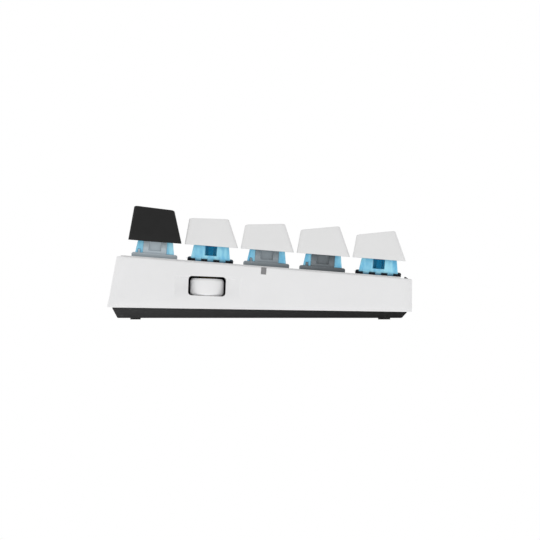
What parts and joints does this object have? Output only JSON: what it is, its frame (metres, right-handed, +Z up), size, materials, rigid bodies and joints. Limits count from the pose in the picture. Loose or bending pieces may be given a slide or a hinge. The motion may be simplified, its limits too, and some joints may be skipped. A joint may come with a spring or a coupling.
{
  "type": "numeric keypad",
  "caption": "Sloped numeric keypad with raised sprung keys on clear-sided switches, a thumb wheel in its left side and rubber feet.",
  "frame": {"origin": "centre of the keypad's outline, on the plane its feet stand on", "axes": "+X to the right as the user sees it, +Y to the back (the taller end), +Z up"},
  "size_m": [0.0836, 0.1036, 0.0387],
  "materials": {
    "white_case": "fine matt moulding",
    "black_base": "fine matt moulding",
    "white_plate": "satin paint on a flat sheet",
    "board_green": "solder mask over glass fibre",
    "switch_black": "satin moulding",
    "bracket_grey": "satin moulding",
    "cover_blue": "clear blue polycarbonate",
    "spring_steel": "drawn wire",
    "wheel_white": "smooth satin moulding",
    "axle_steel": "turned",
    "encoder_black": "plain moulding",
    "ribbon_amber": "polyimide film",
    "port_steel": "drawn shell",
    "foot_rubber": "matt rubber",
    "screw_steel": "zinc plated",
    "window_grey": "smoked light guide",
    "trim_dark": "matt moulding",
    "lamp_clear": "encapsulated lamp",
    "chip_black": "moulded package",
    "keycap_black": "fine matt moulding",
    "keycap_white": "fine matt moulding",
    "stem_blue": "satin moulding"
  },
  "bodies": {
    "case": {"top_case": "white_case", "base_pan": "black_base", "switch_plate": "white_plate", "circuit_board": "board_green", "switch_lower_housings": "switch_black", "switch_lamp_brackets": "bracket_grey", "switch_covers": "cover_blue", "key_springs": "spring_steel", "wheel_encoder": "encoder_black", "wheel_board": "board_green", "wheel_ribbon": "ribbon_amber", "usb_port": "port_steel", "foot_pads": "foot_rubber", "case_screws": "screw_steel", "status_window": "window_grey", "front_trim": "trim_dark", "key_leds": "lamp_clear", "board_chips": "chip_black"},
    "wheel": {"thumb_wheel": "wheel_white", "wheel_axle": "axle_steel"},
    "key_num_lock": {"keycap_num_lock": "keycap_black", "stem_num_lock": "stem_blue"},
    "key_divide": {"keycap_divide": "keycap_black", "stem_divide": "stem_blue"},
    "key_multiply": {"keycap_multiply": "keycap_black", "stem_multiply": "stem_blue"},
    "key_subtract": {"keycap_subtract": "keycap_black", "stem_subtract": "stem_blue"},
    "key_7": {"keycap_7": "keycap_white", "stem_7": "stem_blue"},
    "key_8": {"keycap_8": "keycap_white", "stem_8": "stem_blue"},
    "key_9": {"keycap_9": "keycap_white", "stem_9": "stem_blue"},
    "key_backspace": {"keycap_backspace": "keycap_white", "stem_backspace": "stem_blue"},
    "key_4": {"keycap_4": "keycap_white", "stem_4": "stem_blue"},
    "key_5": {"keycap_5": "keycap_white", "stem_5": "stem_blue"},
    "key_6": {"keycap_6": "keycap_white", "stem_6": "stem_blue"},
    "key_add": {"keycap_add": "keycap_white", "stem_add": "stem_blue"},
    "key_1": {"keycap_1": "keycap_white", "stem_1": "stem_blue"},
    "key_2": {"keycap_2": "keycap_white", "stem_2": "stem_blue"},
    "key_3": {"keycap_3": "keycap_white", "stem_3": "stem_blue"},
    "key_equals": {"keycap_equals": "keycap_white", "stem_equals": "stem_blue"},
    "key_0": {"keycap_0": "keycap_white", "stem_0": "stem_blue"},
    "key_00": {"keycap_00": "keycap_white", "stem_00": "stem_blue"},
    "key_decimal": {"keycap_decimal": "keycap_white", "stem_decimal": "stem_blue"},
    "key_enter": {"keycap_enter": "keycap_white", "stem_enter": "stem_blue"}
  },
  "joints": [
    {"name": "press_num_lock", "type": "slide", "parent": "case", "child": "key_num_lock", "axis": [0, 0.0779, -0.997], "range_m": [0, 0.0038], "stiffness_N_per_m": 80, "springref_m": -0.004, "deforming": ["key_springs"]},
    {"name": "press_divide", "type": "slide", "parent": "case", "child": "key_divide", "axis": [0, 0.0779, -0.997], "range_m": [0, 0.0038], "stiffness_N_per_m": 80, "springref_m": -0.004, "deforming": ["key_springs"]},
    {"name": "press_multiply", "type": "slide", "parent": "case", "child": "key_multiply", "axis": [0, 0.0779, -0.997], "range_m": [0, 0.0038], "stiffness_N_per_m": 80, "springref_m": -0.004, "deforming": ["key_springs"]},
    {"name": "press_subtract", "type": "slide", "parent": "case", "child": "key_subtract", "axis": [0, 0.0779, -0.997], "range_m": [0, 0.0038], "stiffness_N_per_m": 80, "springref_m": -0.004, "deforming": ["key_springs"]},
    {"name": "press_7", "type": "slide", "parent": "case", "child": "key_7", "axis": [0, 0.0779, -0.997], "range_m": [0, 0.0038], "stiffness_N_per_m": 80, "springref_m": -0.004, "deforming": ["key_springs"]},
    {"name": "press_8", "type": "slide", "parent": "case", "child": "key_8", "axis": [0, 0.0779, -0.997], "range_m": [0, 0.0038], "stiffness_N_per_m": 80, "springref_m": -0.004, "deforming": ["key_springs"]},
    {"name": "press_9", "type": "slide", "parent": "case", "child": "key_9", "axis": [0, 0.0779, -0.997], "range_m": [0, 0.0038], "stiffness_N_per_m": 80, "springref_m": -0.004, "deforming": ["key_springs"]},
    {"name": "press_backspace", "type": "slide", "parent": "case", "child": "key_backspace", "axis": [0, 0.0779, -0.997], "range_m": [0, 0.0038], "stiffness_N_per_m": 80, "springref_m": -0.004, "deforming": ["key_springs"]},
    {"name": "press_4", "type": "slide", "parent": "case", "child": "key_4", "axis": [0, 0.0779, -0.997], "range_m": [0, 0.0038], "stiffness_N_per_m": 80, "springref_m": -0.004, "deforming": ["key_springs"]},
    {"name": "press_5", "type": "slide", "parent": "case", "child": "key_5", "axis": [0, 0.0779, -0.997], "range_m": [0, 0.0038], "stiffness_N_per_m": 80, "springref_m": -0.004, "deforming": ["key_springs"]},
    {"name": "press_6", "type": "slide", "parent": "case", "child": "key_6", "axis": [0, 0.0779, -0.997], "range_m": [0, 0.0038], "stiffness_N_per_m": 80, "springref_m": -0.004, "deforming": ["key_springs"]},
    {"name": "press_add", "type": "slide", "parent": "case", "child": "key_add", "axis": [0, 0.0779, -0.997], "range_m": [0, 0.0038], "stiffness_N_per_m": 80, "springref_m": -0.004, "deforming": ["key_springs"]},
    {"name": "press_1", "type": "slide", "parent": "case", "child": "key_1", "axis": [0, 0.0779, -0.997], "range_m": [0, 0.0038], "stiffness_N_per_m": 80, "springref_m": -0.004, "deforming": ["key_springs"]},
    {"name": "press_2", "type": "slide", "parent": "case", "child": "key_2", "axis": [0, 0.0779, -0.997], "range_m": [0, 0.0038], "stiffness_N_per_m": 80, "springref_m": -0.004, "deforming": ["key_springs"]},
    {"name": "press_3", "type": "slide", "parent": "case", "child": "key_3", "axis": [0, 0.0779, -0.997], "range_m": [0, 0.0038], "stiffness_N_per_m": 80, "springref_m": -0.004, "deforming": ["key_springs"]},
    {"name": "press_equals", "type": "slide", "parent": "case", "child": "key_equals", "axis": [0, 0.0779, -0.997], "range_m": [0, 0.0038], "stiffness_N_per_m": 80, "springref_m": -0.004, "deforming": ["key_springs"]},
    {"name": "press_0", "type": "slide", "parent": "case", "child": "key_0", "axis": [0, 0.0779, -0.997], "range_m": [0, 0.0038], "stiffness_N_per_m": 80, "springref_m": -0.004, "deforming": ["key_springs"]},
    {"name": "press_00", "type": "slide", "parent": "case", "child": "key_00", "axis": [0, 0.0779, -0.997], "range_m": [0, 0.0038], "stiffness_N_per_m": 80, "springref_m": -0.004, "deforming": ["key_springs"]},
    {"name": "press_decimal", "type": "slide", "parent": "case", "child": "key_decimal", "axis": [0, 0.0779, -0.997], "range_m": [0, 0.0038], "stiffness_N_per_m": 80, "springref_m": -0.004, "deforming": ["key_springs"]},
    {"name": "press_enter", "type": "slide", "parent": "case", "child": "key_enter", "axis": [0, 0.0779, -0.997], "range_m": [0, 0.0038], "stiffness_N_per_m": 80, "springref_m": -0.004, "deforming": ["key_springs"]},
    {"name": "wheel_spin", "type": "hinge", "parent": "case", "child": "wheel", "pos_m": [-0.0363, 0.0179, 0.011], "axis": [0, -0.0401, 0.9992], "continuous": true}
  ]
}
